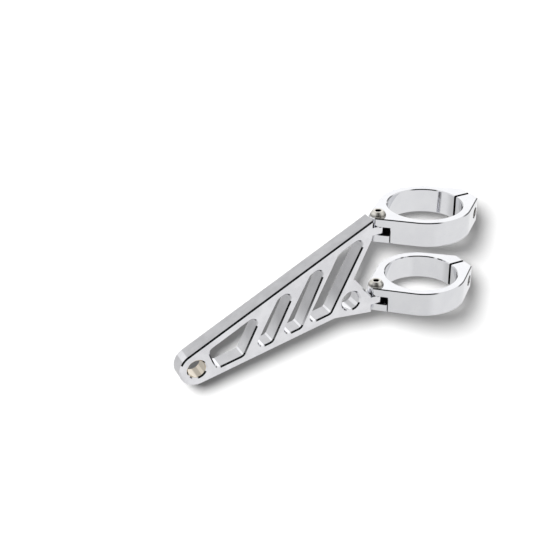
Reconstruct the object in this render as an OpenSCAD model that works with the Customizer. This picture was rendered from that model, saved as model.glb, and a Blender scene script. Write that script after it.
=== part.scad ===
// Headlight mounting bracket for one fork leg.
// A slotted flat arm swings on two split clamps that grip the fork tube. The lamp bolts
// through the eye at the arm's tip. The fork tube's axis is Z, the arm points along -X,
// and the origin is on the tube's axis at the middle of the lower clamp.

/* [Fork clamps] */
// Diameter of the fork tube
tube_d = 41; // [35:0.5:50]
// Thickness of the clamp ring
clamp_wall = 5; // [4:0.25:7]
// Height of one clamp
clamp_h = 14; // [12:0.5:18]
// Distance from the lower clamp's middle to the upper clamp's middle
clamp_pitch = 43; // [38:0.5:60]
// Width of the slit that the pinch screw closes
slit_w = 1.8; // [1:0.1:3]
// Distance from the bore's wall to the end face of the ears
ear_len = 9.7; // [9:0.5:16]
// Width of the end face, over both ears
ear_w = 15; // [14:0.5:22]
// Chamfer on the clamps' edges
clamp_bevel = 0.5; // [0.2:0.1:1]

/* [Pivots] */
// Distance from the bore's wall to the pivot axis
pivot_gap = 9.5; // [8.5:0.25:14]
// Radius of the clamp's nose round the pivot axis
nose_r = 5; // [4.5:0.1:5.5]
// Distance from the pivot axis to the deepest point of the clamp's round step
step_depth = 6.1; // [5.6:0.1:8]
// Radius of the clamp's round step
step_r = 12.2; // [11:0.1:16]
// Thickness of the arm's tongues
tongue_t = 4.5; // [3.5:0.1:5.5]
// Clearance above and below a tongue
tongue_clear = 0.1; // [0.05:0.05:0.3]
// Clearance between the clamp's nose and the arm's end face
nose_clear = 0.5; // [0.3:0.1:1]
// Gap between the nut block and the step that keeps it from turning
block_clear = 0.2; // [0.1:0.05:0.5]
// Chamfer on the upright edges of the step and the nut block
step_bevel = 0.4; // [0.2:0.1:0.8]

/* [Arm] */
// Thickness of the arm
arm_t = 10; // [8:0.5:12]
// Distance from the pivot axis to the lamp hole
lamp_reach = 111.3; // [90:0.1:140]
// Depth of the lamp hole below the lower clamp's middle
lamp_drop = 11.8; // [0:0.1:20]
// Diameter of the lamp bolt's hole
lamp_hole_d = 10; // [8:0.5:12]
// Radius of the rounded tip
tip_r = 9.7; // [8:0.1:12]
// Diameter of the indicator's hole
signal_hole_d = 11; // [8:0.5:12]
// Distance from the pivot axis to the indicator's hole
signal_reach = 18.9; // [17:0.1:21]
// Height of the indicator's hole above the lower clamp's middle
signal_rise = 4; // [2:0.1:6]
// Distance from the pivot axis to the knee in the lower edge
knee_reach = 29; // [26:0.5:34]
// Height of the knee above the lower clamp's bottom
knee_rise = 2.4; // [0:0.1:5]
// Distance from the pivot axis to the notch between the clamps
notch_reach = 17; // [14:0.1:19]
// Height of the notch above the lower clamp's top
notch_rise = 10.2; // [6:0.1:14]
// Height of the end face that shows between a tongue and the notch
lip_h = 1; // [0.5:0.1:2]
// Radius in the notch and the knee
notch_r = 1.2; // [1.2:0.1:3]
// Chamfer on the arm's edges
arm_bevel = 0.8; // [0.3:0.1:1.2]
// Chamfer on the tongues' edges
tongue_bevel = 0.5; // [0.2:0.1:0.8]

/* [Slots] */
// Width of the rim between the slots and the arm's edges
rim = 4.75; // [3.5:0.05:6]
// Distance from the lamp hole's centre to the first slot
first_slot_gap = 9.6; // [8.5:0.1:12]
// Distance along X from the pivot axis to the foot of the last slot's front side
slots_start = 31.8; // [28:0.1:40]
// Feet of the three full slots' rear sides, as shares of the way from there to the lamp hole
slot_rear = [0.585, 0.386, 0.189]; // [0.1:0.001:0.7]
// Feet of all four slots' front sides, as shares of the same way
slot_front = [0.667, 0.45, 0.23, 0]; // [0:0.001:0.8]
// Corner radius of the slots, as a share of the same way
slot_round = 0.037; // [0.02:0.001:0.04]
// Lean of the rear sides from the X axis
rear_lean = [60.4, 60.4, 62]; // [50:0.1:75]
// Lean of the front sides from the X axis
front_lean = [62, 62.8, 64.6, 61.7]; // [50:0.1:75]

/* [Screws] */
// Diameter of the pivot screws
pivot_d = 5; // [4:1:6]
// Head diameter of the pivot screws
pivot_head_d = 8.75; // [8:0.25:11]
// Head height of the pivot screws
pivot_head_h = 2.75; // [2:0.05:3.3]
// Hexagon socket of the pivot screws, across flats
pivot_hex = 3; // [2.5:0.5:4]
// Distance from a pivot screw's end to the clamp's bottom
pivot_end = 1.5; // [0.5:0.1:3]
// Diameter of the pinch screws
pinch_d = 3; // [2.5:0.5:4]
// Head diameter of the pinch screws
pinch_head_d = 5.5; // [4.5:0.1:7]
// Head height of the pinch screws
pinch_head_h = 3; // [2:0.1:4]
// Hexagon socket of the pinch screws, across flats
pinch_hex = 2.5; // [1.5:0.5:3]
// Distance from the bore's wall to the pinch screw's axis
pinch_gap = 5.7; // [5:0.1:8]
// Thickness of the ear under a pinch screw's head
pinch_seat = 3.6; // [2.5:0.1:5]
// Length of a pinch screw under its head
pinch_len = 12; // [10:1:20]
// Radial clearance of a pinch screw's head in its counterbore
head_clear = 0.2; // [0.1:0.05:0.5]
// Radial clearance of a screw in a plain hole
hole_clear = 0.25; // [0.1:0.05:0.5]
// Radial clearance of a screw in a tapped or running hole
fit_clear = 0.05; // [0.02:0.01:0.1]

/* [Hidden] */

bore_r = tube_d / 2;
ring_r = bore_r + clamp_wall;
pivot_x = -bore_r - pivot_gap;
ear_x = bore_r + ear_len;
step_x = pivot_x + step_depth - step_r;
pinch_x = bore_r + pinch_gap;
slot_h = tongue_t + 2 * tongue_clear;
lug_h = (clamp_h - slot_h) / 2;
end_x = pivot_x - nose_r - nose_clear;
slots_way = lamp_reach - slots_start;
slot_r = slot_round * slots_way;
// How far a cut runs past the face that it opens
over = 1;
// How far flats lie inside the rounds they run into, so that the two cross cleanly
tuck = 0.003;
round_fn = 128;
small_fn = 48;
CHROME = [0.86, 0.87, 0.89];
STEEL = [0.74, 0.72, 0.66];

function unit(v) = v / norm(v);
function turn_left(v) = [-v[1], v[0]];
function cross2(u, v) = u[0] * v[1] - u[1] * v[0];
function mirrored(p) = [p[0], -p[1]];
function angle_of(v) = atan2(v[1], v[0]);
function polar(r, a) = r * [cos(a), sin(a)];

// Point where the line through p along u meets the line through q along v
function meet(p, u, q, v) = p + u * cross2(q - p, v) / cross2(u, v);

// Point of the flat from p that runs into the circle, on the side named by sign
function touch(p, centre, r, sign) =
    let (v = p - centre, near = r - tuck)
    centre + polar(near, angle_of(v) + sign * acos(near / norm(v)));

// Point where the line through p along the unit vector u leaves a circle
function leave(p, u, centre, r) =
    let (v = p - centre, along = u * v)
    p + u * (sqrt(along * along - v * v + r * r) - along);

// Inward corner b between a and c, rounded with radius r: [first touch, centre, second touch]
function hollow(a, b, c, r) =
    let (u = unit(b - a), v = unit(c - b), near = r - tuck,
         back = near * tan((angle_of(u) - angle_of(v)) / 2))
    [b - back * u, b - back * u - near * turn_left(u), b + back * v];

// Corner centres of a convex outline whose corners are rounded with radius r
function inset(pts, r) = [for (i = [0 : len(pts) - 1])
    let (n = len(pts), a = pts[(i + n - 1) % n], b = pts[i], c = pts[(i + 1) % n],
         u = unit(b - a), v = unit(c - b), near = r - tuck)
    meet(b + near * turn_left(u), u, b + near * turn_left(v), v)];

// The flat between two such corner centres
function flat_between(a, b, r) =
    let (out = (tuck - r) * turn_left(unit(b - a)))
    [a + out, b + out];

// Arm outline in the X-Z plane, anticlockwise
tip = [pivot_x - lamp_reach, -lamp_drop];
signal = [pivot_x - signal_reach, signal_rise];
knee = [pivot_x - knee_reach, knee_rise - clamp_h / 2];
heel_low = [end_x, -clamp_h / 2];
lip_low = [end_x, tongue_t / 2 + lip_h];
notch = [pivot_x - notch_reach, clamp_h / 2 + notch_rise];
lip_high = [end_x, clamp_pitch - tongue_t / 2 - lip_h];
heel_high = [end_x, clamp_pitch + clamp_h / 2];
tip_high = touch(heel_high, tip, tip_r, 1);
tip_low = touch(knee, tip, tip_r, -1);
knee_round = hollow(tip_low, knee, heel_low, notch_r);
notch_round = hollow(lip_low, notch, lip_high, notch_r);

// Straight sides of the outline, each with how far its chamfer runs on at both ends
arm_sides = [
    [tip_low, knee_round[0], over, 0], [knee_round[2], heel_low, 0, over],
    [heel_low, lip_low, over, over], [lip_low, notch_round[0], over, 0],
    [notch_round[2], lip_high, 0, over], [lip_high, heel_high, over, over],
    [heel_high, tip_high, over, over]];

// Lines that the slots keep to, inside the upper and lower edges
top_dir = unit(heel_high - tip_high);
low_dir = unit(knee - tip_low);
top_line = tip_high - rim * turn_left(top_dir);
low_line = tip_low + rim * turn_left(low_dir);
axis_dir = unit(top_dir + low_dir);

// Foot of a slot's side: the point of the lower line at a share of the way to the lamp hole
function foot(share) =
    meet(low_line, low_dir, [pivot_x - slots_start - share * slots_way, 0], [0, 1]);

// Corners of a slot between its rear and front sides, anticlockwise
function slot_corners(rear, rear_dir, front, front_dir) = [
    meet(low_line, low_dir, rear, rear_dir),
    meet(low_line, low_dir, front, front_dir),
    meet(top_line, top_dir, front, front_dir),
    meet(top_line, top_dir, rear, rear_dir)];

slots = concat(
    [slot_corners(tip + first_slot_gap * axis_dir, turn_left(axis_dir),
        foot(slot_front[0]), polar(1, front_lean[0]))],
    [for (i = [0 : len(slot_rear) - 1])
        slot_corners(foot(slot_rear[i]), polar(1, rear_lean[i]),
            foot(slot_front[i + 1]), polar(1, front_lean[i + 1]))]);

// Clamp outline: where its flats touch the nose and the ring
lean = acos((ring_r - nose_r) / -pivot_x);
nose_touch = [pivot_x, 0] + polar(nose_r - tuck, 180 + lean);
ring_touch = polar(ring_r - tuck, 180 + lean);
ear_corner = [ear_x, -ear_w / 2];
ear_touch = touch(ear_corner, [0, 0], ring_r, -1);
flank_dir = unit(ring_touch - nose_touch);

// Cuts a chamfer along the straight edge from a to b of the face at height 0,
// with the solid on the left of the edge
module edge_cut(a, b, bevel, before = 0, after = 0) {
    u = unit(b - a);
    translate([a[0] - before * u[0], a[1] - before * u[1], 0])
        rotate([0, 0, angle_of(u)]) rotate([90, 0, 90])
            linear_extrude(norm(b - a) + before + after)
                polygon([[bevel + over, over], [-over, -bevel - over], [-over, over]]);
}

// Cuts a chamfer along an arc of the face at height 0
module arc_cut(centre, r, start, sweep, bevel) {
    translate([centre[0], centre[1], 0]) rotate([0, 0, start])
        rotate_extrude(angle = sweep, $fn = round_fn)
            polygon([[r - bevel - over, over], [r + over, -bevel - over], [r + over, over]]);
}

// Countersink of a round hole in the face at height 0
module rim_cut(centre, r, bevel) {
    translate([centre[0], centre[1], -bevel])
        cylinder(h = bevel + over, r1 = r, r2 = r + bevel + over, $fn = round_fn);
}

// Does the same cut at a plate's upper and lower face
module both_faces(thickness) {
    translate([0, 0, thickness / 2]) children();
    mirror([0, 0, 1]) translate([0, 0, thickness / 2]) children();
}

// Stands a flat drawing of X and Z up in the arm's plane
module in_arm_plane() {
    rotate([90, 0, 0]) children();
}

// Convex outline with rounded corners
module rounded_outline(corners, r) {
    centres = inset(corners, r);
    n = len(corners);
    polygon([for (i = [0 : n - 1]) each flat_between(centres[i], centres[(i + 1) % n], r)]);
    for (c = centres) translate(c) circle(r, $fn = small_fn);
}

// Flared mouth of a rounded slot in the face at height 0
module slot_mouth(corners, r, bevel) {
    centres = inset(corners, r);
    n = len(corners);
    for (i = [0 : n - 1]) {
        side = flat_between(centres[i], centres[(i + 1) % n], r);
        edge_cut(side[1], side[0], bevel);
        rim_cut(centres[i], r, bevel);
    }
}

module slot_cut(corners) {
    translate([0, 0, -arm_t / 2 - over])
        linear_extrude(arm_t + 2 * over) rounded_outline(corners, slot_r);
    both_faces(arm_t) slot_mouth(corners, slot_r, arm_bevel);
}

module hole_cut(centre, d) {
    translate([centre[0], centre[1], -arm_t / 2 - over])
        cylinder(h = arm_t + 2 * over, d = d, $fn = round_fn);
    both_faces(arm_t) rim_cut(centre, d / 2, arm_bevel);
}

// Chamfer round the arm's whole outline in the face at height 0
module arm_edge_cut() {
    for (side = arm_sides) edge_cut(side[0], side[1], arm_bevel, side[2], side[3]);
    for (corner = [knee_round, notch_round]) rim_cut(corner[1], notch_r, arm_bevel);
    start = angle_of(tip_high - tip);
    sweep = (angle_of(tip_low - tip) - start + 360) % 360;
    arc_cut(tip, tip_r, start, sweep, arm_bevel);
}

module arm_outline() {
    difference() {
        union() {
            polygon([for (side = arm_sides) each [side[0], side[1]]]);
            translate(tip) circle(tip_r, $fn = round_fn);
        }
        for (corner = [knee_round, notch_round]) translate(corner[1]) circle(notch_r, $fn = small_fn);
    }
}

module arm_plate() {
    difference() {
        translate([0, 0, -arm_t / 2]) linear_extrude(arm_t) arm_outline();
        both_faces(arm_t) arm_edge_cut();
        for (corners = slots) slot_cut(corners);
        hole_cut(tip, lamp_hole_d);
        hole_cut(signal, signal_hole_d);
    }
}

// Tongue with a half-round end about the pivot axis
module tongue() {
    root = end_x - over;
    half = arm_t / 2;
    difference() {
        translate([0, 0, -tongue_t / 2]) linear_extrude(tongue_t) {
            translate([pivot_x, 0]) circle(half, $fn = round_fn);
            translate([root, -half]) square([pivot_x - root, arm_t]);
        }
        both_faces(tongue_t) {
            edge_cut([root, -half], [pivot_x, -half], tongue_bevel);
            edge_cut([pivot_x, half], [root, half], tongue_bevel);
            arc_cut([pivot_x, 0], half, -90, 180, tongue_bevel);
        }
    }
}

module arm() {
    color(CHROME) difference() {
        union() {
            in_arm_plane() arm_plate();
            for (z = [0, clamp_pitch]) translate([0, 0, z]) tongue();
        }
        for (z = [0, clamp_pitch]) translate([pivot_x, 0, z - clamp_h / 2])
            cylinder(h = clamp_h, r = pivot_d / 2 + fit_clear, $fn = small_fn);
    }
}

// Nose of the clamp, drawn up to the ring
module nose_outline() {
    translate([pivot_x, 0]) circle(nose_r, $fn = round_fn);
    polygon([nose_touch, ring_touch, mirrored(ring_touch), mirrored(nose_touch)]);
}

module clamp_outline() {
    circle(ring_r, $fn = round_fn);
    nose_outline();
    polygon([ear_touch, ear_corner, mirrored(ear_corner), mirrored(ear_touch)]);
}

// Chamfer along one side of the clamp's outline, in the face at height 0
module clamp_side_cut() {
    edge_cut(nose_touch, ring_touch, clamp_bevel, over, over);
    arc_cut([0, 0], ring_r, angle_of(ring_touch), angle_of(ear_touch) - angle_of(ring_touch), clamp_bevel);
    edge_cut(ear_touch, ear_corner, clamp_bevel, over, over);
    arc_cut([pivot_x, 0], nose_r, 180, lean, clamp_bevel);
}

module clamp_edge_cut() {
    clamp_side_cut();
    mirror([0, 1, 0]) clamp_side_cut();
    edge_cut(ear_corner, mirrored(ear_corner), clamp_bevel, over, over);
    rim_cut([0, 0], bore_r, clamp_bevel);
}

// Cuts a chamfer along the upright edge at p, where faces along u and v meet
module upright_cut(p, u, v, bevel) {
    side = unit(u - v) * bevel;
    out = -unit(u + v) * 2 * bevel;
    a = p + bevel * u + side;
    b = p + bevel * v - side;
    translate([0, 0, -clamp_h]) linear_extrude(2 * clamp_h) polygon([a, b, b + out, a + out]);
}

// Both upright edges where a round face of radius r about the step's axis meets the
// clamp's flats, with the solid on the side of the flats that turn names
module step_edge_cut(r, turn) {
    p = leave(nose_touch, flank_dir, [step_x, 0], r);
    inward = turn_left(unit(p - [step_x, 0]));
    upright_cut(p, turn * flank_dir, inward, step_bevel);
    mirror([0, 1, 0]) upright_cut(p, turn * flank_dir, inward, step_bevel);
}

// Room for the tongue and the nut block, under the clamp's upper lug
module step_cut() {
    floor_z = -clamp_h / 2 - over;
    translate([step_x, 0, floor_z]) cylinder(h = clamp_h - lug_h + over, r = step_r, $fn = round_fn);
    intersection() {
        step_edge_cut(step_r, 1);
        translate([pivot_x - ring_r, -ring_r, floor_z])
            cube([2 * ring_r, 2 * ring_r, clamp_h - lug_h + over]);
    }
}

module pinch_cut() {
    translate([pinch_x, 0, 0]) rotate([90, 0, 0]) {
        cylinder(h = ring_r, r = pinch_d / 2 + hole_clear, $fn = small_fn);
        translate([0, 0, slit_w / 2 + pinch_seat])
            cylinder(h = ring_r, r = pinch_head_d / 2 + head_clear, $fn = small_fn);
        translate([0, 0, -ring_r]) cylinder(h = ring_r + over, r = pinch_d / 2 + fit_clear, $fn = small_fn);
    }
}

module clamp() {
    color(CHROME) difference() {
        translate([0, 0, -clamp_h / 2]) linear_extrude(clamp_h) clamp_outline();
        translate([0, 0, -clamp_h / 2 - over]) cylinder(h = clamp_h + 2 * over, r = bore_r, $fn = round_fn);
        both_faces(clamp_h) clamp_edge_cut();
        translate([0, -slit_w / 2, -clamp_h / 2 - over]) cube([ear_x + over, slit_w, clamp_h + 2 * over]);
        step_cut();
        translate([pivot_x, 0, 0])
            cylinder(h = clamp_h, r = pivot_d / 2 + hole_clear, $fn = small_fn);
        pinch_cut();
    }
}

module nut_block() {
    back_r = step_r - block_clear;
    corner = leave(nose_touch, flank_dir, [step_x, 0], back_r);
    half_turn = angle_of(mirrored(corner) - [step_x, 0]);
    color(CHROME) translate([0, 0, (lug_h - clamp_h) / 2]) difference() {
        translate([0, 0, -lug_h / 2]) linear_extrude(lug_h) intersection() {
            nose_outline();
            translate([step_x, 0]) circle(back_r, $fn = round_fn);
        }
        both_faces(lug_h) {
            edge_cut(nose_touch, corner, step_bevel, over, over);
            edge_cut(mirrored(corner), mirrored(nose_touch), step_bevel, over, over);
            arc_cut([step_x, 0], back_r, -half_turn, 2 * half_turn, step_bevel);
            arc_cut([pivot_x, 0], nose_r, 180 - lean, 2 * lean, step_bevel);
        }
        step_edge_cut(back_r, -1);
        translate([pivot_x, 0, -lug_h])
            cylinder(h = 2 * lug_h, r = pivot_d / 2 + fit_clear, $fn = small_fn);
    }
}

// Hexagon socket cut down into a screw's head from height 0
module hex_socket(flats, depth) {
    translate([0, 0, -depth]) cylinder(h = depth + over, r = flats / sqrt(3), $fn = 6);
}

// Button head screw, its head's underside at height 0 and its shank pointing down
module button_screw(d, head_d, head_h, hex, length) {
    brim = 0.15 * head_h;
    crown_r = hex / sqrt(3) + 0.1 * head_d;
    drop = (pow(head_d / 2, 2) - pow(crown_r, 2) + pow(brim, 2) - pow(head_h, 2)) / (2 * (brim - head_h));
    dome_r = norm([head_d / 2, brim - drop]);
    color(STEEL) difference() {
        union() {
            intersection() {
                cylinder(h = head_h, d = head_d, $fn = small_fn);
                translate([0, 0, drop]) sphere(dome_r, $fn = round_fn);
            }
            translate([0, 0, -length]) cylinder(h = length + over, d = d, $fn = small_fn);
        }
        translate([0, 0, head_h]) hex_socket(hex, 0.6 * head_h);
    }
}

// Socket head cap screw, placed as the button head screw is
module cap_screw(d, head_d, head_h, hex, length) {
    soften = 0.08 * head_d;
    color(STEEL) difference() {
        union() {
            cylinder(h = head_h - soften, d = head_d, $fn = small_fn);
            translate([0, 0, head_h - soften])
                cylinder(h = soften, d1 = head_d, d2 = head_d - 2 * soften, $fn = small_fn);
            translate([0, 0, -length]) cylinder(h = length + over, d = d, $fn = small_fn);
        }
        translate([0, 0, head_h]) hex_socket(hex, 0.5 * head_h);
    }
}

module pivot_screw() {
    translate([pivot_x, 0, clamp_h / 2])
        button_screw(pivot_d, pivot_head_d, pivot_head_h, pivot_hex, clamp_h - pivot_end);
}

module pinch_screw() {
    translate([pinch_x, -slit_w / 2 - pinch_seat, 0]) rotate([90, 0, 0])
        cap_screw(pinch_d, pinch_head_d, pinch_head_h, pinch_hex, pinch_len);
}

module upper_clamp() {
    translate([0, 0, clamp_pitch]) clamp();
}

module lower_clamp() {
    clamp();
}

module upper_nut_block() {
    translate([0, 0, clamp_pitch]) nut_block();
}

module lower_nut_block() {
    nut_block();
}

module upper_pivot_screw() {
    translate([0, 0, clamp_pitch]) pivot_screw();
}

module lower_pivot_screw() {
    pivot_screw();
}

module upper_pinch_screw() {
    translate([0, 0, clamp_pitch]) pinch_screw();
}

module lower_pinch_screw() {
    pinch_screw();
}

arm();
upper_clamp();
lower_clamp();
upper_nut_block();
lower_nut_block();
upper_pivot_screw();
lower_pivot_screw();
upper_pinch_screw();
lower_pinch_screw();
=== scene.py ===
"""Looks of a chromed headlight bracket: mirror plated parts, steel screws, studio and camera.

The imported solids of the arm, the clamps and the nut blocks are shown as they are, with
chrome finishes. The four screws are replaced by detailed ones, with threads, rounded
heads and deep hexagon sockets. Lengths are in metres and angles in degrees.
"""

import logging
import math
from dataclasses import dataclass, field
from enum import Enum
from functools import reduce
from typing import ClassVar

import bpy
import numpy as np
from mathutils import Matrix, Vector


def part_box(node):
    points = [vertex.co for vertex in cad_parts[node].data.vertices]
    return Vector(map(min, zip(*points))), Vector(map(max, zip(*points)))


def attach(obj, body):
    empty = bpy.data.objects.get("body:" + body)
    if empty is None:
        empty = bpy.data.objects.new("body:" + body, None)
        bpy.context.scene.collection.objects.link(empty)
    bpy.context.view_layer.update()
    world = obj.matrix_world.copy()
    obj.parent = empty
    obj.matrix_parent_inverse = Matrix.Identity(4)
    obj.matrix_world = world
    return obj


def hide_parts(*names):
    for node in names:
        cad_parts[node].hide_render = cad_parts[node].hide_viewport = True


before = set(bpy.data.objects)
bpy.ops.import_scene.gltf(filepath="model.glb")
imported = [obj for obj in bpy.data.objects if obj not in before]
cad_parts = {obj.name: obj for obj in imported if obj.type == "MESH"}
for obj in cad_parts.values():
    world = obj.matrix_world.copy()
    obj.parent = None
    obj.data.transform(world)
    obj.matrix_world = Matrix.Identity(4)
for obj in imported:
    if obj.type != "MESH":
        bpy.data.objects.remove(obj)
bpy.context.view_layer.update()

Socket = bpy.types.NodeSocket
NodeTree = bpy.types.NodeTree
Colour = tuple[float, float, float]
Span = tuple[float, float]  # the values at which something starts and ends
Level = Socket | float

LOG = logging.getLogger("bracket")
MM = 0.001
CLAMP_PITCH = 43.0 * MM
SAFE_PITCHES = 4  # pitches that bring every height above 0 before it is wrapped
STEP_AXIS = -36.1 * MM
STEP_RADIUS = 12.2 * MM
LAMP_HOLE = (-141.3 * MM, -11.8 * MM)


class Ease(Enum):
    """Way in which a ramp goes from one level to the other."""

    LINEAR = "LINEAR"
    SMOOTH = "SMOOTHSTEP"


@dataclass(frozen=True)
class Wiring:
    """Adds nodes to one node tree and wires them.

    Args:
        tree: The node tree.
    """

    tree: NodeTree

    def add(
        self, kind: str, feeds: dict[str | int, object] | None = None, **settings: object
    ) -> bpy.types.Node:
        """Adds a node, sets its properties and feeds its inputs.

        Args:
            kind: The node's type name.
            feeds: For an input's name or place, a socket to link or a constant to set.
            settings: Property names and values of the node.

        Returns:
            The new node.
        """
        node = self.tree.nodes.new(kind)
        for name, value in settings.items():
            setattr(node, name, value)
        for key, feed in (feeds or {}).items():
            if isinstance(feed, Socket):
                self.tree.links.new(feed, node.inputs[key])
            else:
                node.inputs[key].default_value = feed
        return node

    def place(self, space: str = "Object") -> tuple[Socket, ...]:
        """Gives the X, Y and Z of the shaded point, or of the direction in the world."""
        look = self.add("ShaderNodeTexCoord")
        return tuple(self.add("ShaderNodeSeparateXYZ", {0: look.outputs[space]}).outputs)

    def maths(self, operation: str, *values: Level) -> Socket:
        """Joins one to three values by a Math operation."""
        return self.add("ShaderNodeMath", dict(enumerate(values)), operation=operation).outputs[0]

    def product(self, *masks: Socket) -> Socket:
        """Multiplies masks, for the place where all of them hold."""
        return reduce(lambda one, two: self.maths("MULTIPLY", one, two), masks)

    def ramp(
        self,
        value: Socket,
        span: Span,
        levels: tuple[Level, Level] = (0.0, 1.0),
        ease: Ease = Ease.SMOOTH,
    ) -> Socket:
        """Goes over from one level to another.

        Args:
            value: The value that decides.
            span: Values at which the first level ends and the second one is reached.
            levels: The two levels.
            ease: Way between them.

        Returns:
            The level.
        """
        ends = dict(zip(("From Min", "From Max", "To Min", "To Max"), (*span, *levels)))
        step = self.add(
            "ShaderNodeMapRange", {"Value": value, **ends}, interpolation_type=ease.value
        )
        return step.outputs["Result"]

    def blend(self, share: Socket, one: Level, two: Level) -> Socket:
        """Mixes two levels by a share."""
        feeds = {"Factor": share, "A": one, "B": two}
        return self.add("ShaderNodeMix", feeds, data_type="FLOAT").outputs["Result"]

    def tint(self, share: Socket, one: Socket | Colour, two: Colour) -> Socket:
        """Mixes two colours by a share.

        Args:
            share: Share of the second colour.
            one: The first colour, as a socket or as numbers.
            two: The second colour.

        Returns:
            The mixed colour.
        """
        first = one if isinstance(one, Socket) else (*one, 1.0)
        feeds = {"Factor": share, "A": first, "B": (*two, 1.0)}
        return self.add("ShaderNodeMix", feeds, data_type="RGBA").outputs["Result"]

    def far_from(self, one: Socket, two: Socket, centre: tuple[float, float]) -> Socket:
        """Gives the distance of the point (one, two) from a centre."""
        parts = [self.maths("SUBTRACT", part, mid) for part, mid in zip((one, two), centre)]
        return self.maths("SQRT", self.maths("ADD", *(self.product(p, p) for p in parts)))

    def over_line(self, x: Socket, z: Socket, line: tuple[float, float]) -> Socket:
        """Works out the height over a line in the XZ plane.

        Args:
            x: X of the point.
            z: Z of the point.
            line: Slope of the line and its height at X = 0.

        Returns:
            The height, which is negative below the line.
        """
        slope, base = line
        over = self.maths("SUBTRACT", z, self.maths("MULTIPLY", x, slope))
        return self.maths("SUBTRACT", over, base)

    def clamp_height(self, z: Socket) -> Socket:
        """Gives the height from the middle of the nearer clamp, without its sign."""
        raised = self.maths("ADD", z, SAFE_PITCHES * CLAMP_PITCH)
        return self.maths("PINGPONG", raised, CLAMP_PITCH / 2)

    def give(self, **results: Socket) -> NodeTree:
        """Links results to the outputs of a group.

        Args:
            results: The socket for each output, by the output's name.

        Returns:
            The group's node tree.
        """
        for label, result in results.items():
            self.tree.links.new(result, self.tree.nodes["out"].inputs[label])
        return self.tree


def blank_group(name: str, inputs: dict[str, str], outputs: tuple[str, ...]) -> NodeTree:
    """Makes an empty shader group with named sockets.

    Args:
        name: The group's name.
        inputs: Names and socket types of the inputs.
        outputs: Names of the outputs, which are numbers.

    Returns:
        The group's node tree, with its input and output nodes placed.
    """
    tree = bpy.data.node_groups.new(name, "ShaderNodeTree")
    for label, kind in inputs.items():
        tree.interface.new_socket(label, in_out="INPUT", socket_type=kind)
    for label in outputs:
        tree.interface.new_socket(label, in_out="OUTPUT", socket_type="NodeSocketFloat")
    wires = Wiring(tree)
    wires.add("NodeGroupInput", name="in")
    wires.add("NodeGroupOutput", name="out")
    return tree


@dataclass(frozen=True)
class PolishMarks:
    """The shader group for polishing marks: fine streaks, slow waves and a haze.

    Streaks are noise on Object coordinates, squeezed along the direction in which the
    surface was polished. Waves are a slow noise that bends reflections a little.

    Args:
        streak_detail: Octaves of the streaks.
        streak_roughness: Share of the finer octaves in them.
        wave_detail: Octaves of the waves.
        haze_scale: Patches of haze a metre.
        haze_detail: Octaves of the haze.
        rough_span: Haze times streaks, from the best polish to the worst.
        patch_span: Haze, from clean to dull metal.
    """

    streak_detail: float = 3.0
    streak_roughness: float = 0.65
    wave_detail: float = 1.0
    haze_scale: float = 130.0
    haze_detail: float = 4.0
    rough_span: Span = (0.1, 0.45)
    patch_span: Span = (0.36, 0.64)

    def build(self) -> NodeTree:
        """Builds the group, which all metal finishes share.

        Returns:
            The group, with Roughness, the Height of the relief and the Haze.
        """
        numbers = ("Streak Depth", "Wave Scale", "Wave Depth", "Smooth", "Hazy")
        inputs = {"Streak Scale": "NodeSocketVector"} | dict.fromkeys(numbers, "NodeSocketFloat")
        wires = Wiring(blank_group("polish_marks", inputs, ("Roughness", "Height", "Haze")))
        given = wires.tree.nodes["in"].outputs
        place = wires.add("ShaderNodeTexCoord").outputs["Object"]
        squeezed = wires.add(
            "ShaderNodeVectorMath", {0: place, 1: given["Streak Scale"]}, operation="MULTIPLY"
        ).outputs[0]
        streaks, waves, haze = (
            wires.add("ShaderNodeTexNoise", feeds).outputs["Fac"]
            for feeds in (
                {
                    "Vector": squeezed, "Scale": 1.0, "Detail": self.streak_detail,
                    "Roughness": self.streak_roughness,
                },
                {"Vector": place, "Scale": given["Wave Scale"], "Detail": self.wave_detail},
                {"Vector": place, "Scale": self.haze_scale, "Detail": self.haze_detail},
            )
        )
        deep = wires.maths("MULTIPLY", streaks, given["Streak Depth"])
        mottle = wires.product(haze, streaks)
        polish = (given["Smooth"], given["Hazy"])
        return wires.give(
            Height=wires.maths("MULTIPLY_ADD", waves, given["Wave Depth"], deep),
            Roughness=wires.ramp(mottle, self.rough_span, polish, Ease.LINEAR),
            Haze=wires.ramp(haze, self.patch_span, ease=Ease.LINEAR),
        )


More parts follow.
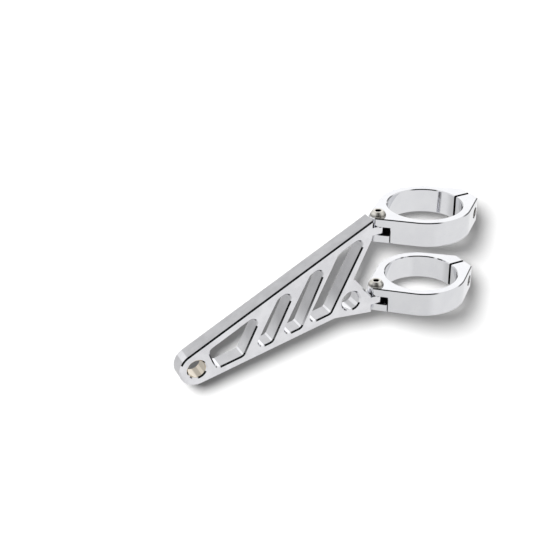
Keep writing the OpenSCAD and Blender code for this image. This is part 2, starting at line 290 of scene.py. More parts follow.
@dataclass(frozen=True)
class SlotShade:
    """The shader group for the arm's inner walls.

    The slots' walls get painted light near their lower ends and painted shade above, where
    less light comes in; the edges beside the clamps' noses get painted shade, as dark as the
    gaps between them; and the wall of the lamp hole gets a painted warm reflection.

    Args:
        low_line: Slope of the line below the slots, and its height at X = 0.
        high_line: The same of the line above them.
        lean: Slope of the line behind the last slot, as X by Z.
        core: Distance from the arm's middle plane, into its thickness.
        high_span: Height over the high line, into the slots.
        tip_span: X, into the first slot.
        root_span: X on the leaning line, into the last slot.
        rise: Height over the low line, over which the painted light turns to painted shade.
        change: Change of the colour at its start and end: painted light, then painted shade.
        gap_span: X, into the end faces beside the noses.
        gap_shade: Painted shade outside and inside the gaps.
        gap_floor: Height from a clamp's middle, past the tongue.
        gap_roof: Height from a clamp's middle, back from its top.
        gap_side: Distance from the middle plane, into the edges.
        hole_span: Distance from the lamp hole's axis, into its wall.
    """

    low_line: tuple[float, float] = (0.209, 10.8 * MM)
    high_line: tuple[float, float] = (0.4827, 67.1 * MM)
    lean: float = 0.43
    core: Span = (4.8 * MM, 4.55 * MM)
    high_span: Span = (-1.0 * MM, -2.0 * MM)
    tip_span: Span = (-134.0 * MM, -133.0 * MM)
    root_span: Span = (-55.5 * MM, -56.5 * MM)
    rise: Span = (0.5 * MM, 13.0 * MM)
    change: tuple[float, float] = (0.18, -0.26)
    gap_span: Span = (-36.3 * MM, -36.1 * MM)
    gap_shade: tuple[float, float] = (0.0, 0.94)
    gap_floor: Span = (2.4 * MM, 2.7 * MM)
    gap_roof: Span = (6.6 * MM, 6.2 * MM)
    gap_side: Span = (4.2 * MM, 4.5 * MM)
    hole_span: Span = (5.3 * MM, 5.1 * MM)

    def build(self) -> NodeTree:
        """Builds the group.

        Returns:
            The group: its first output scales the colour with painted light and shade, and its
                second is 1 on the lamp hole's wall, for a painted warm reflection.
        """
        wires = Wiring(blank_group("slot_painted_light", {}, ("Tone", "Stain")))
        x, y, z = wires.place()
        side = wires.maths("ABSOLUTE", y)
        depth = wires.ramp(side, self.core)
        leaning = wires.maths("SUBTRACT", x, wires.maths("MULTIPLY", z, self.lean))
        slots = wires.product(
            wires.ramp(wires.over_line(x, z, self.high_line), self.high_span),
            wires.ramp(x, self.tip_span),
            wires.ramp(leaning, self.root_span),
            depth,
        )
        # Painted light at the slots' lower ends, painted shade above them.
        change = wires.ramp(wires.over_line(x, z, self.low_line), self.rise, self.change)
        tone = wires.maths("ADD", wires.product(slots, change), 1.0)
        height = wires.clamp_height(z)
        # Painted shade on the edges beside the clamps' noses.
        gap = wires.product(
            wires.ramp(x, self.gap_span, self.gap_shade),
            wires.ramp(height, self.gap_floor),
            wires.ramp(height, self.gap_roof),
            wires.ramp(side, self.gap_side),
        )
        # The lamp hole's wall, for a painted warm reflection.
        hole = wires.ramp(wires.far_from(x, z, LAMP_HOLE), self.hole_span)
        return wires.give(
            Tone=wires.maths("SUBTRACT", tone, wires.product(gap, tone)),
            Stain=wires.product(hole, depth),
        )


@dataclass(frozen=True)
class RecessShade:
    """The shader group that finds the clamps' recesses, which get painted shade and a rough finish.

    These are the walls of the slit, close to the plane Y = 0, the step behind the tongue,
    inside a circle about the step's axis, and the joint line of the nut block, on that
    circle below the tongue, all of which lie in shade. Both clamps count heights from their own
    middles.

    Args:
        step_span: Distance from the step's axis, into the circle.
        tongue_span: Height from a clamp's middle, into the tongue's room.
        slit_span: Distance from the middle plane, into the slit.
        slit_start: X, into the ears.
        joint_span: Distance from the circle, onto the joint line.
        below_span: Sine of the height in the clamps' pitch, down past the tongue.
        face_span: Height from a clamp's middle, back from outside its faces.
    """

    step_span: Span = (12.35 * MM, 12.25 * MM)
    tongue_span: Span = (2.35 * MM, 2.25 * MM)
    slit_span: Span = (1.0 * MM, 0.92 * MM)
    slit_start: Span = (18.0 * MM, 19.0 * MM)
    joint_span: Span = (0.36 * MM, 0.24 * MM)
    below_span: Span = (-0.30, -0.33)
    face_span: Span = (8.0 * MM, 7.5 * MM)

    def build(self) -> NodeTree:
        """Builds the group.

        Returns:
            The group, whose Shade is 1 in a recess, for its painted shade, and 0 elsewhere.
        """
        wires = Wiring(blank_group("recess_shade", {}, ("Shade",)))
        x, y, z = wires.place()
        height = wires.clamp_height(z)
        away = wires.far_from(x, y, (STEP_AXIS, 0.0))
        step = wires.product(
            wires.ramp(away, self.step_span), wires.ramp(height, self.tongue_span)
        )
        slit = wires.product(
            wires.ramp(wires.maths("ABSOLUTE", y), self.slit_span), wires.ramp(x, self.slit_start)
        )
        off_joint = wires.maths("ABSOLUTE", wires.maths("SUBTRACT", away, STEP_RADIUS))
        below = wires.maths("SINE", wires.maths("MULTIPLY", z, 2 * math.pi / CLAMP_PITCH))
        joint = wires.product(
            wires.ramp(off_joint, self.joint_span),
            wires.ramp(below, self.below_span),
            wires.ramp(height, self.face_span),
        )
        return wires.give(Shade=wires.maths("MAXIMUM", wires.maths("MAXIMUM", step, slit), joint))


@dataclass(frozen=True)
class MetalFinish:
    """A metal finish: its colours, its polish and its marks.

    Args:
        name: Name of the material.
        slot: The record's material slot that it stands for; not used.
        clean: Colour of the clean metal.
        dull: Colour of the slightly hazed metal.
        smooth: Roughness where the polish is best.
        hazy: Roughness where it is hazed.
        streak_scale: Streaks a metre along X, Y and Z.
        streak_depth: Share of the bump height that the streaks take.
        wave_scale: Waves a metre.
        wave_depth: Share of the bump height that the waves take.
        bump: Height of the bump in metres.
        cavity: Colour of the painted shade in sockets and at the domes' feet, or None where there
            are none.
        recess: Colour of the painted shade in recesses, or None where there are none.
        recess_roughness: Roughness of the unpolished recesses.
        hole_reflection: Colour of the painted warm reflection inside the lamp hole, or None for
            pieces without the slots.
    """

    name: str
    slot: str
    clean: Colour
    dull: Colour
    smooth: float
    hazy: float
    streak_scale: tuple[float, float, float]
    streak_depth: float
    wave_scale: float
    wave_depth: float
    bump: float
    cavity: Colour | None = None
    recess: Colour | None = None
    recess_roughness: float = 0.6
    hole_reflection: Colour | None = None

    def material(self, groups: dict[str, NodeTree]) -> bpy.types.Material:
        """Builds the material from the shared groups.

        Args:
            groups: The shader groups, by name.

        Returns:
            The finished material.
        """
        made = bpy.data.materials.new(self.name)
        made.use_nodes = True
        wires = Wiring(made.node_tree)
        shader = wires.tree.nodes["Principled BSDF"]
        shader.inputs["Metallic"].default_value = 1.0
        feeds = {
            "Streak Scale": self.streak_scale,
            "Streak Depth": self.streak_depth,
            "Wave Scale": self.wave_scale,
            "Wave Depth": self.wave_depth,
            "Smooth": self.smooth,
            "Hazy": self.hazy,
        }
        marks = wires.add("ShaderNodeGroup", feeds, node_tree=groups["polish_marks"]).outputs
        colour = wires.tint(marks["Haze"], self.clean, self.dull)
        roughness = marks["Roughness"]
        # Sockets and the domes' feet get painted shade through the cavity attribute.
        if self.cavity is not None:
            depth = wires.add("ShaderNodeAttribute", attribute_name="cavity")
            colour = wires.tint(depth.outputs["Fac"], colour, self.cavity)
        # The clamps' recesses get painted shade, near black, and a rougher finish.
        if self.recess is not None:
            inside = wires.add("ShaderNodeGroup", node_tree=groups["recess_shade"]).outputs["Shade"]
            colour = wires.tint(inside, colour, self.recess)
            roughness = wires.blend(inside, roughness, self.recess_roughness)
        # The arm gets painted light and shade on its slot walls and gap edges, and a painted warm
        # reflection in the lamp hole.
        if self.hole_reflection is not None:
            walls = wires.add("ShaderNodeGroup", node_tree=groups["slot_painted_light"]).outputs
            warm = wires.tint(walls["Stain"], colour, self.hole_reflection)
            toned = {0: warm, "Scale": walls["Tone"]}
            colour = wires.add("ShaderNodeVectorMath", toned, operation="SCALE").outputs[0]
        relief = wires.add("ShaderNodeBump", {"Distance": self.bump, "Height": marks["Height"]})
        wires.tree.links.new(colour, shader.inputs["Base Color"])
        wires.tree.links.new(roughness, shader.inputs["Roughness"])
        wires.tree.links.new(relief.outputs["Normal"], shader.inputs["Normal"])
        return made


# The arm's colour in the lamp hole is a painted warm reflection.
ARM_CHROME = MetalFinish(
    name="arm_chrome", slot="chrome", clean=(0.825, 0.825, 0.85), dull=(0.75, 0.75, 0.775),
    smooth=0.035, hazy=0.11, streak_scale=(25.0, 2600.0, 25.0), streak_depth=1.0,
    wave_scale=160.0, wave_depth=1.6, bump=2.0e-6, hole_reflection=(0.68, 0.62, 0.53),
)
# The clamps' recess colour is painted shade.
CLAMP_CHROME = MetalFinish(
    name="clamp_chrome", slot="chrome", clean=(0.79, 0.795, 0.815), dull=(0.765, 0.77, 0.795),
    smooth=0.03, hazy=0.09, streak_scale=(60.0, 60.0, 1800.0), streak_depth=0.8,
    wave_scale=190.0, wave_depth=1.4, bump=2.0e-6, recess=(0.02, 0.02, 0.022),
)
# The screws' cavity colour is painted shade in their sockets.
SCREW_STEEL = MetalFinish(
    name="screw_steel", slot="screw_steel", clean=(0.86, 0.84, 0.79), dull=(0.74, 0.71, 0.64),
    smooth=0.30, hazy=0.46, streak_scale=(900.0, 900.0, 900.0), streak_depth=1.0,
    wave_scale=500.0, wave_depth=1.0, bump=6.0e-6, cavity=(0.012, 0.011, 0.01),
)


class HeadForm(Enum):
    """Form of a screw's head."""

    BUTTON = "button"
    CAP = "cap"


@dataclass(frozen=True)
class ScrewKind:
    """A kind of screw, of which each clamp has one.

    Args:
        role: Word for it in the names of nodes and pieces.
        form: Form of the head.
        up: Unit vector along the axis, from the shank to the head.
        shank: Diameter of the thread.
        pitch: Pitch of the thread.
        head_height: Height of the head.
        flats: Width of the socket across flats.
    """

    role: str
    form: HeadForm
    up: Vector
    shank: float
    pitch: float
    head_height: float
    flats: float


PIVOT_KIND = ScrewKind(
    role="pivot", form=HeadForm.BUTTON, up=Vector((0.0, 0.0, 1.0)), shank=5.0 * MM,
    pitch=0.8 * MM, head_height=2.75 * MM, flats=3.0 * MM,
)
PINCH_KIND = ScrewKind(
    role="pinch", form=HeadForm.CAP, up=Vector((0.0, -1.0, 0.0)), shank=3.0 * MM,
    pitch=0.5 * MM, head_height=3.0 * MM, flats=2.5 * MM,
)


@dataclass
class SocketScrew:
    """A screw with a hexagon socket, as one closed surface of rings round its axis.

    Args:
        kind: Kind of the screw.
        name: Name of the piece.
        node: The CAD node that it stands for.
        body: The CAD body that it rides on.
        foot: Point on the axis at the head's underside.
        head: Diameter of the head.
        length: Length under the head.
    """

    AROUND: ClassVar[int] = 120  # points in a ring
    TURN_RINGS: ClassVar[int] = 10  # rings in a turn of the thread
    THREAD_DEPTH: ClassVar[float] = 0.54  # of the pitch
    GROOVE_GAIN: ClassVar[float] = 1.35  # steepness of the groove's flanks
    CREST: ClassVar[float] = 0.12  # depth taken off the groove, which leaves flat crests
    LEAD: ClassVar[float] = 0.7  # height of the cone at the end, of the thread's depth
    # Height and inset of the cone's rings, of the cone's height
    LEAD_RINGS: ClassVar[tuple[tuple[float, float], ...]] = ((0.0, 0.2), (0.25, 0.0))
    RUN_IN: ClassVar[float] = 1.5  # turns in which the thread gets deep
    RUN_START: ClassVar[float] = 0.25  # share of the depth that it starts with
    NECK: ClassVar[float] = 0.9 * MM  # plain length under the head
    EDGE: ClassVar[float] = 0.18 * MM  # radius round the head's underside
    EDGE_STEPS: ClassVar[int] = 5
    BRIM: ClassVar[float] = 0.15  # upright part of a button head, of its height
    CROWN: ClassVar[float] = 0.1  # flat ring round its socket, of the head's diameter
    CROWN_ROUND: ClassVar[float] = 0.06 * MM  # rounding inside the dome's upper end
    DOME_TRIM: ClassVar[Span] = (1.0, -0.6)  # angles that the dome leaves to its neighbours
    DOME_STEPS: ClassVar[int] = 18
    # Painted shadow at the foot of the dome, by the head's brim.
    DOME_FOOT_SHADE: ClassVar[float] = 0.75  # darkness at the dome's foot
    SOFT: ClassVar[float] = 0.08  # radius on a cap head's upper edge, of its diameter
    SOFT_STEPS: ClassVar[int] = 8
    MOUTH_DEPTH: ClassVar[float] = 0.16 * MM  # height of the chamfer at the socket's mouth
    # Depth, width past the corners, share of hexagon and painted shade of the chamfer's rings
    MOUTH_RINGS: ClassVar[tuple[tuple[float, ...], ...]] = (
        (0.0, 0.22 * MM, 0.0, 0.0),
        (0.05 * MM, 0.12 * MM, 0.35, 0.25),
        (MOUTH_DEPTH, 0.0, 1.0, 0.7),
    )
    SOCKET_DEPTH: ClassVar[float] = 0.62  # of the head's height
    WALL_RINGS: ClassVar[tuple[float, ...]] = (0.15, 0.4, 0.7, 1.0)  # of the walls' height, down
    # Depth below the walls, share of the corners' radius and of hexagon of the floor's rings
    FLOOR_RINGS: ClassVar[tuple[tuple[float, ...], ...]] = (
        (0.12 * MM, 0.8, 0.6),
        (0.28 * MM, 0.35, 0.0),
    )
    SHARP_ANGLE: ClassVar[float] = 32.0  # between faces, from which an edge is sharp

    kind: ScrewKind
    name: str
    node: str
    body: str
    foot: Vector
    head: float
    length: float
    rows: list[tuple[float, float, float, float, float]] = field(default_factory=list)

    @property
    def corners(self) -> float:
        """Gives the radius of the socket's corners."""
        return self.kind.flats / math.sqrt(3.0)

    def _row(
        self,
        height: float,
        radius: float,
        hexed: float = 0.0,
        cut: float = 0.0,
        cavity: float = 0.0,
    ) -> None:
        """Adds a ring: its height, radius, share of hexagon, thread depth and painted shade."""
        self.rows.append((height, radius, hexed, cut, cavity))

    def _arc(
        self,
        centre: tuple[float, float],
        radius: float,
        angles: Span,
        steps: int,
        foot_shade: float = 0.0,
    ) -> None:
        """Adds the rings of a circular arc of the profile, from one angle to another.

        Args:
            centre: Radius and height of the arc's centre.
            radius: Radius of the arc.
            angles: First and last angle, from outwards towards the head's top.
            steps: Number of rings.
            foot_shade: Painted shadow at the first ring, which fades out over the first half.
        """
        turns = np.radians(np.linspace(*angles, steps))
        for share, angle in zip(np.linspace(0.0, 1.0, steps), turns):
            shade = foot_shade * max(0.0, 1.0 - 2.0 * share)
            height = centre[1] + radius * math.sin(angle)
            self._row(height, centre[0] + radius * math.cos(angle), cavity=shade)

    def _shank(self) -> None:
        """Lays out the rings from the shank's end up to the head.

        A cone leads in, the thread gets deep over the first turns, and it fades out over
        the last turn below the plain neck.
        """
        pitch, core = self.kind.pitch, self.kind.shank / 2
        depth = self.THREAD_DEPTH * pitch
        lead = self.LEAD * depth
        for rise, inset in self.LEAD_RINGS:
            self._row(-self.length + rise * lead, core - depth - inset * lead)
        for height in np.arange(-self.length + lead, -self.NECK, pitch / self.TURN_RINGS):
            run_in = (height + self.length) / (self.RUN_IN * pitch) + self.RUN_START
            run_out = (-self.NECK - height) / pitch
            self._row(height, core, cut=depth * max(0.0, min(1.0, run_in, run_out)))
        self._row(-self.NECK, core)
        self._row(0.0, core)

    def _dome(self) -> None:
        """Lays out the dome of a button head, an arc from the brim to the crown.

        Both ends are the same distance from the arc's centre on the axis, at height c:
        half^2 + (brim - c)^2 = crown^2 + (top - c)^2, which is solved for c.
        """
        half, top = self.head / 2, self.kind.head_height
        brim = self.BRIM * top
        crown = self.corners + self.CROWN * self.head
        middle = (half**2 - crown**2 + brim**2 - top**2) / (2 * (brim - top))
        ends = ((half, brim), (crown, top))
        angles = [
            math.degrees(math.atan2(height - middle, radius)) + trim
            for (radius, height), trim in zip(ends, self.DOME_TRIM)
        ]
        radius = math.hypot(half, brim - middle)
        self._arc((0.0, middle), radius, tuple(angles), self.DOME_STEPS, foot_shade=self.DOME_FOOT_SHADE)
        self._row(top, crown - self.CROWN_ROUND)

    def _socket(self) -> None:
        """Lays out the rings from the socket's mouth down to its floor."""
        top, mouth = self.kind.head_height, self.corners
        for deep, wider, hexed, cavity in self.MOUTH_RINGS:
            self._row(top - deep, mouth + wider, hexed=hexed, cavity=cavity)
        bottom = top - self.SOCKET_DEPTH * top
        start = top - self.MOUTH_DEPTH
        # The socket's walls and floor get full painted shade.
        for share in self.WALL_RINGS:
            self._row(start + share * (bottom - start), mouth, hexed=1.0, cavity=1.0)
        for deep, share, hexed in self.FLOOR_RINGS:
            self._row(bottom - deep, mouth * share, hexed=hexed, cavity=1.0)

    def _profile(self) -> None:
        """Lays out the rings from the shank's end up over the head and down into the socket."""
        half, top = self.head / 2, self.kind.head_height
        self._shank()
        self._row(0.0, half - self.EDGE)
        self._arc((half - self.EDGE, self.EDGE), self.EDGE, (-90.0, 0.0), self.EDGE_STEPS)
        if self.kind.form is HeadForm.BUTTON:
            self._dome()
        else:
            soft = self.SOFT * self.head
            self._arc((half - soft, top - soft), soft, (0.0, 90.0), self.SOFT_STEPS)
        self._socket()

    def points(self) -> tuple[np.ndarray, np.ndarray]:
        """Works out the surface.

        Each ring is radius(angle) = R, drawn towards a hexagon apothem / cos(a) in the
        socket, and cut by a V thread whose phase is height / pitch - angle / turn.

        Returns:
            The rings' points, as (rings, around, 3), and the painted shade of each ring.
        """
        self._profile()
        table = np.array(self.rows)
        height, radius, hexed, cut, cavity = (table[:, i : i + 1] for i in range(5))
        angle = np.linspace(0.0, 2 * math.pi, self.AROUND, endpoint=False)[None, :]
        sixth = math.pi / 3
        in_side = (angle + sixth / 2) % sixth - sixth / 2
        hexagon = (self.kind.flats / 2) / np.cos(in_side)
        phase = (height / self.kind.pitch - angle / (2 * math.pi)) % 1.0
        groove = 1.0 - np.abs(2 * phase - 1.0)
        groove = np.clip(groove * self.GROOVE_GAIN - self.CREST, 0.0, 1.0)
        ring = radius - cut * groove
        ring = ring * (1 - hexed) + hexagon * hexed * radius / self.corners
        level = np.broadcast_to(height, ring.shape)
        local = np.stack([ring * np.cos(angle), ring * np.sin(angle), level], axis=2)
        return local, cavity[:, 0]

    def build(self, material: bpy.types.Material) -> bpy.types.Object:
        """Makes the screw's mesh object, parents it to its body's empty and hides the CAD node.

        Args:
            material: Finish of the screw.

        Returns:
            The finished piece.
        """
        local, cavity = self.points()
        turn = np.array(self.kind.up.to_track_quat("Z", "Y").to_matrix())
        rings = local @ turn.T + np.array(self.foot)
        count, around = rings.shape[:2]
        ends = np.stack([rings[0].mean(axis=0), rings[-1].mean(axis=0)])
        points = np.concatenate([rings.reshape(-1, 3), ends])
        low = np.arange((count - 1) * around).reshape(count - 1, around)
        right = np.roll(low, -1, axis=1)
        quads = np.stack([low, right, right + around, low + around], axis=2).reshape(-1, 4)
        first = np.arange(around)
        last = first + (count - 1) * around
        tail = np.stack([np.full(around, count * around), np.roll(first, -1), first], axis=1)
        nose = np.stack([np.full(around, count * around + 1), last, np.roll(last, -1)], axis=1)
        mesh = bpy.data.meshes.new(self.name)
        mesh.from_pydata(points.tolist(), [], quads.tolist() + tail.tolist() + nose.tolist())
        mesh.polygons.foreach_set("use_smooth", np.ones(len(mesh.polygons), bool))
        mesh.set_sharp_from_angle(angle=math.radians(self.SHARP_ANGLE))
        depth = mesh.attributes.new("cavity", "FLOAT", "POINT")
        shade = np.concatenate([np.repeat(cavity, around), [0.0, 1.0]])
        depth.data.foreach_set("value", shade.astype(np.float32))
        mesh.materials.append(material)
        mesh.update()
        piece = bpy.data.objects.new(self.name, mesh)
        bpy.context.scene.collection.objects.link(piece)
        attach(piece, self.body)
        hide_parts(self.node)
        return piece


@dataclass(frozen=True)
class ScrewSet:
    """The bracket's four screws, placed by the boxes of the CAD nodes that they stand for.

    Args:
        levels: Words for the clamps in the names of nodes.
        kinds: Kinds of screw on each clamp.
    """

    levels: tuple[str, ...] = ("upper", "lower")
    kinds: tuple[ScrewKind, ...] = (PIVOT_KIND, PINCH_KIND)

    def _screw(self, level: str, kind: ScrewKind) -> SocketScrew:
        """Works out one screw from its node's box.

        Args:
            level: Word for the clamp.
            kind: Kind of the screw.

        Returns:
            The screw, with its head's top and its end on the box's faces.
        """
        node = f"{level}_{kind.role}_screw"
        low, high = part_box(node)
        whole = abs((high - low).dot(kind.up))
        foot = (low + high) / 2 + (whole / 2 - kind.head_height) * kind.up
        return SocketScrew(
            kind=kind, name=f"{level}_{kind.role}_bolt", node=node, body=f"{level}_clamp",
            foot=foot, head=high.x - low.x, length=whole - kind.head_height,
        )

    def build(self, material: bpy.types.Material) -> list[bpy.types.Object]:
        """Makes all four screws with the material and gives the pieces."""
        screws = [self._screw(level, kind) for level in self.levels for kind in self.kinds]
        return [screw.build(material) for screw in screws]


@dataclass(frozen=True)
class PlatedParts:
    """The CAD nodes that are shown as they are.

    Args:
        finishes: The finish of each node, by the node's name.
    """

    finishes: dict[str, MetalFinish]

    def dress(self, groups: dict[str, NodeTree]) -> list[bpy.types.Object]:
        """Gives each node its finish.

        Args:
            groups: The shader groups, by name.

        Returns:
            The dressed nodes.
        """
        ready = {finish.name: finish.material(groups) for finish in self.finishes.values()}
        dressed = []
        for node, finish in self.finishes.items():
            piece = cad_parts[node]
            if not piece.material_slots:
                piece.data.materials.append(ready[finish.name])
            for place in piece.material_slots:
                place.material = ready[finish.name]
            dressed.append(piece)
        return dressed


@dataclass(frozen=True)
class Viewpoint:
    """The camera at the photograph's viewing angle.

    Args:
        azimuth: Angle round the object; 0 looks along +Y.
        elevation: Angle above the horizon.
        roll: Turn of the picture about the line of sight.
        target: Point of the object that the camera's offsets are measured from.
        right: Offset of the target to the right of the picture's middle.
        above: Offset of the target above the picture's middle.
        distance: Distance of the target along the line of sight.
        lens: Focal length in millimetres.
        sensor: Sensor width in millimetres.
        clip: Nearest and farthest distance that is shown.
    """

    azimuth: float = -24.389
    elevation: float = 27.921
    roll: float = -2.07
    target: Vector = field(default_factory=lambda: Vector((-0.03, 0.0, 0.007)))
    right: float = 61.588 * MM
    above: float = -10.104 * MM
    distance: float = 505.52 * MM
    lens: float = 60.687
    sensor: float = 36.0
    clip: Span = (0.01, 10.0)

    def axes(self) -> tuple[Vector, Vector, Vector]:
        """Works out the directions of the camera.

        Returns:
            Its right, up and back directions, as unit vectors.
        """
        turn, rise, roll = (math.radians(a) for a in (self.azimuth, self.elevation, self.roll))
        level = math.cos(rise)
        back = Vector((math.sin(turn) * level, -math.cos(turn) * level, math.sin(rise)))
        right = Vector((math.cos(turn), math.sin(turn), 0.0))
        up = back.cross(right)
        return (
            math.cos(roll) * right + math.sin(roll) * up,
            math.cos(roll) * up - math.sin(roll) * right,
            back,
        )

    def build(self) -> bpy.types.Object:
        """Makes the camera and sets it as the scene's own.

        Returns:
            The camera.
        """
        right, up, back = self.axes()
        place = self.target - self.right * right - self.above * up + self.distance * back
        turn = Matrix((right, up, back)).transposed().to_4x4()
        data = bpy.data.cameras.new("camera")
        data.lens = self.lens
        data.sensor_width = self.sensor
        data.clip_start, data.clip_end = self.clip
        camera = bpy.data.objects.new("camera", data)
        camera.matrix_world = Matrix.Translation(place) @ turn
        bpy.context.scene.collection.objects.link(camera)
        bpy.context.scene.camera = camera
        return camera


@dataclass(frozen=True)
class LightTent:
    """The world as a white tent, with a grey back on the left and a dark opening at the front.

    The direction of a reflection has the components X, Y and Z. Each span below is the
    part of one of them over which a patch of the tent sets in.

    Args:
        front_white: Light of the tent before the object.
        front_low: Light of its low left part.
        front_left: Span of X from the left part to the right one.
        front_floor: Span of Z down to the low part.
        behind: Span of Y from the front to the back.
        back_left: Light of the back on the left.
        back_right: Light of the back on the right.
        back_low: Light of the back's low right part.
        back_across: Span of X from the left part to the right one.
        back_rise: Span of Z from the low part up.
        beside: Light of a patch far on the left of the back.
        beside_x: Span of X into that patch.
        beside_z: Span of Z into that patch.
        dark: Light in the opening.
        opening_y: Span of Y into its main part.
        opening_z: Span of Z into its main part.
        roof_y: Span of Y into the part overhead.
        roof_z: Span of Z into the part overhead.
        opening_end: Span of X over which the opening ends on the right.
        flag: Light of a dark flag on the right.
        flag_x: Span of X into the flag.
        flag_z: Span of Z into the flag.
        fill: Light on matt surfaces.
    """

    front_white: float = 0.90
    front_low: float = 0.80
    front_left: Span = (-0.25, 0.1)
    front_floor: Span = (-0.36, -0.52)
    behind: Span = (0.2, 0.6)
    back_left: float = 0.66
    back_right: float = 1.2
    back_low: float = 0.97
    back_across: Span = (0.15, 0.42)
    back_rise: Span = (-0.3, 0.05)
    beside: float = 0.95
    beside_x: Span = (-0.3, -0.38)
    beside_z: Span = (0.12, 0.2)
    dark: float = 0.015
    opening_y: Span = (-0.34, -0.42)
    opening_z: Span = (0.02, 0.08)
    roof_y: Span = (0.04, -0.06)
    roof_z: Span = (0.78, 0.83)
    opening_end: Span = (0.14, 0.34)
    flag: float = 0.16
    flag_x: Span = (0.84, 0.93)
    flag_z: Span = (-0.02, 0.08)
    fill: float = 0.05

    def _seen(self, wires: Wiring) -> Socket:
        """Works out the light that a mirror sees in each direction.

        Args:
            wires: Wiring of the world's node tree.

        Returns:
            The light's level.
        """
        x, y, z = wires.place("Generated")
        low = wires.ramp(z, self.front_floor, (self.front_white, self.front_low))
        front = wires.blend(wires.ramp(x, self.front_left), low, self.front_white)
        right = wires.ramp(z, self.back_rise, (self.back_low, self.back_right))
        back = wires.blend(wires.ramp(x, self.back_across), self.back_left, right)
        patch = wires.product(wires.ramp(x, self.beside_x), wires.ramp(z, self.beside_z))
        back = wires.blend(patch, back, self.beside)
        level = wires.blend(wires.ramp(y, self.behind), front, back)
        main = wires.product(wires.ramp(y, self.opening_y), wires.ramp(z, self.opening_z))
        roof = wires.product(wires.ramp(y, self.roof_y), wires.ramp(z, self.roof_z))
        both = wires.maths("MAXIMUM", main, roof)
        opening = wires.maths("SUBTRACT", both, wires.ramp(x, self.opening_end))
        flag = wires.product(wires.ramp(x, self.flag_x), wires.ramp(z, self.flag_z))
        return wires.blend(flag, wires.blend(opening, level, self.dark), self.flag)

    def build(self) -> None:
        """Makes the world: the tent for mirrors, plain light for matt surfaces, white behind."""
        world = bpy.data.worlds.new("light_tent")
        bpy.context.scene.world = world
        world.use_nodes = True
        world.node_tree.nodes.clear()
        wires = Wiring(world.node_tree)
        path = wires.add("ShaderNodeLightPath").outputs
        level = wires.blend(path["Is Diffuse Ray"], self._seen(wires), self.fill)
        level = wires.blend(path["Is Camera Ray"], level, 1.0)
        white = (1.0, 1.0, 1.0, 1.0)
        light = wires.add("ShaderNodeBackground", {"Color": white, "Strength": level})
        wires.add("ShaderNodeOutputWorld", {"Surface": light.outputs[0]})


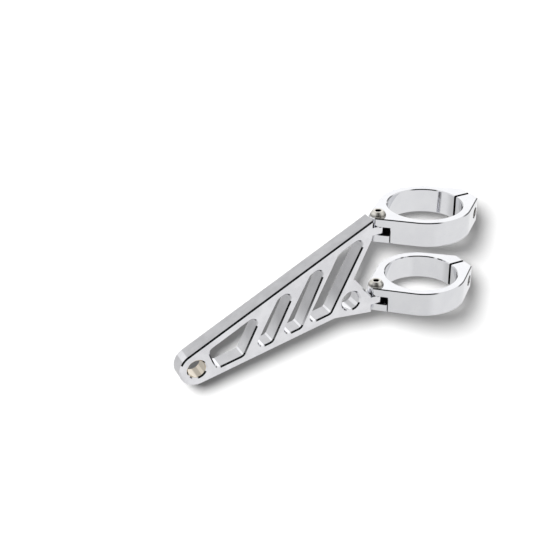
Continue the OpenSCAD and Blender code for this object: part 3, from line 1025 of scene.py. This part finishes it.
@dataclass(frozen=True)
class Studio:
    """A white table on which the bracket lies, a soft lamp and the tent.

    The table is parallel to the plane through the far sides of both clamps and the back
    of the arm's tip, and so far behind it that the clamps can swing freely.

    Args:
        table_half: Half of the table's width.
        lean: Sine of the angle by which the table's normal leans from Y.
        reach: Distance of the table from the origin.
        paper: Reflectance of the table's paper.
        glow: Light that the table adds for the camera near the bracket.
        white: Brightness that the camera sees where the lamp hardly reaches.
        lit_reach: Distance from the lamp at which its light alone would be white.
        lamp_from: Place of the lamp.
        lamp_radius: Radius of the lamp.
        lamp_power: Power of the lamp in watts.
        tent: The tent round all of it.
    """

    table_half: float = 3.0
    lean: float = -0.1368
    reach: float = 50.0 * MM
    paper: float = 0.85
    glow: float = 0.01
    white: float = 1.02
    lit_reach: float = 0.58
    lamp_from: Vector = field(default_factory=lambda: Vector((-0.331, -0.384, 0.329)))
    lamp_radius: float = 0.042
    lamp_power: float = 70.0
    tent: LightTent = LightTent()

    def _paper(self) -> bpy.types.Material:
        """Makes the table's white paper, which is clear when it is seen from behind.

        Away from the lamp it glows for the camera, so that the picture's edges are white.

        Returns:
            The material.
        """
        made = bpy.data.materials.new("studio_paper")
        made.use_nodes = True
        made.node_tree.nodes.clear()
        wires = Wiring(made.node_tree)
        place = wires.add("ShaderNodeTexCoord").outputs["Object"]
        ends = {0: place, 1: self.lamp_from}
        shift = wires.add("ShaderNodeVectorMath", ends, operation="SUBTRACT").outputs[0]
        away = wires.add("ShaderNodeVectorMath", {0: shift}, operation="LENGTH").outputs["Value"]
        lit = wires.maths("DIVIDE", self.lit_reach, away)
        missing = wires.maths("MAXIMUM", wires.maths("SUBTRACT", self.white, lit), self.glow)
        camera = wires.add("ShaderNodeLightPath").outputs["Is Camera Ray"]
        shown = wires.maths("MULTIPLY", camera, missing)
        glow = wires.add("ShaderNodeEmission", {"Strength": shown})
        matt = wires.add("ShaderNodeBsdfDiffuse", {"Color": (self.paper,) * 3 + (1.0,)})
        both = wires.add("ShaderNodeAddShader", {0: matt.outputs[0], 1: glow.outputs[0]})
        clear = wires.add("ShaderNodeBsdfTransparent")
        back = wires.add("ShaderNodeNewGeometry").outputs["Backfacing"]
        sides = {"Fac": back, 1: both.outputs[0], 2: clear.outputs[0]}
        side = wires.add("ShaderNodeMixShader", sides)
        wires.add("ShaderNodeOutputMaterial", {"Surface": side.outputs[0]})
        return made

    def _table(self) -> bpy.types.Object:
        """Makes the table top: a square round the foot of its normal.

        Returns:
            The table top.
        """
        normal = Vector((self.lean, math.sqrt(1.0 - self.lean**2), 0.0))
        along = Vector((normal.y, -normal.x, 0.0))
        across = Vector((0.0, 0.0, 1.0))
        corners = [
            normal * self.reach + self.table_half * (i * along + j * across)
            for i, j in ((-1, -1), (1, -1), (1, 1), (-1, 1))
        ]
        mesh = bpy.data.meshes.new("table")
        mesh.from_pydata([list(corner) for corner in corners], [], [(0, 1, 2, 3)])
        mesh.materials.append(self._paper())
        table = bpy.data.objects.new("table", mesh)
        bpy.context.scene.collection.objects.link(table)
        table.visible_glossy = False
        return table

    def _lamp(self) -> None:
        """Hangs the soft lamp beside the camera, so that shadows fall to the lower right.

        Its light doesn't weaken with distance, as that of a large far window.
        """
        data = bpy.data.lights.new("soft_lamp", "POINT")
        data.shadow_soft_size = self.lamp_radius
        data.energy = self.lamp_power
        data.use_nodes = True
        even = Wiring(data.node_tree).add("ShaderNodeLightFalloff", {"Strength": 1.0})
        strength = data.node_tree.nodes["Emission"].inputs["Strength"]
        data.node_tree.links.new(even.outputs["Constant"], strength)
        lamp = bpy.data.objects.new("soft_lamp", data)
        lamp.location = self.lamp_from
        lamp.visible_glossy = False
        bpy.context.scene.collection.objects.link(lamp)

    def build(self) -> None:
        """Sets up table, lamp, tent and the plain view transform."""
        self._table()
        self._lamp()
        self.tent.build()
        bpy.context.scene.view_settings.view_transform = "Standard"


def write_size() -> None:
    """Updates the view layer."""
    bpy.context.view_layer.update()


def main() -> None:
    """Builds the camera, the finishes, the screws and the studio, and logs the camera, the dressed
    parts and the screws.
    """
    logging.basicConfig(level=logging.INFO, format="%(message)s")
    Viewpoint().build()
    LOG.info("camera set")
    groups = {
        tree.name: tree
        for tree in (PolishMarks().build(), SlotShade().build(), RecessShade().build())
    }
    plated = PlatedParts({
        "arm": ARM_CHROME,
        "upper_clamp": CLAMP_CHROME,
        "lower_clamp": CLAMP_CHROME,
        "upper_nut_block": CLAMP_CHROME,
        "lower_nut_block": CLAMP_CHROME,
    })
    for piece in plated.dress(groups):
        LOG.info("dressed %s", piece.name)
    for piece in ScrewSet().build(SCREW_STEEL.material(groups)):
        LOG.info("built %s with %d faces", piece.name, len(piece.data.polygons))
    Studio().build()
    write_size()


if __name__ == "__main__":
    main()
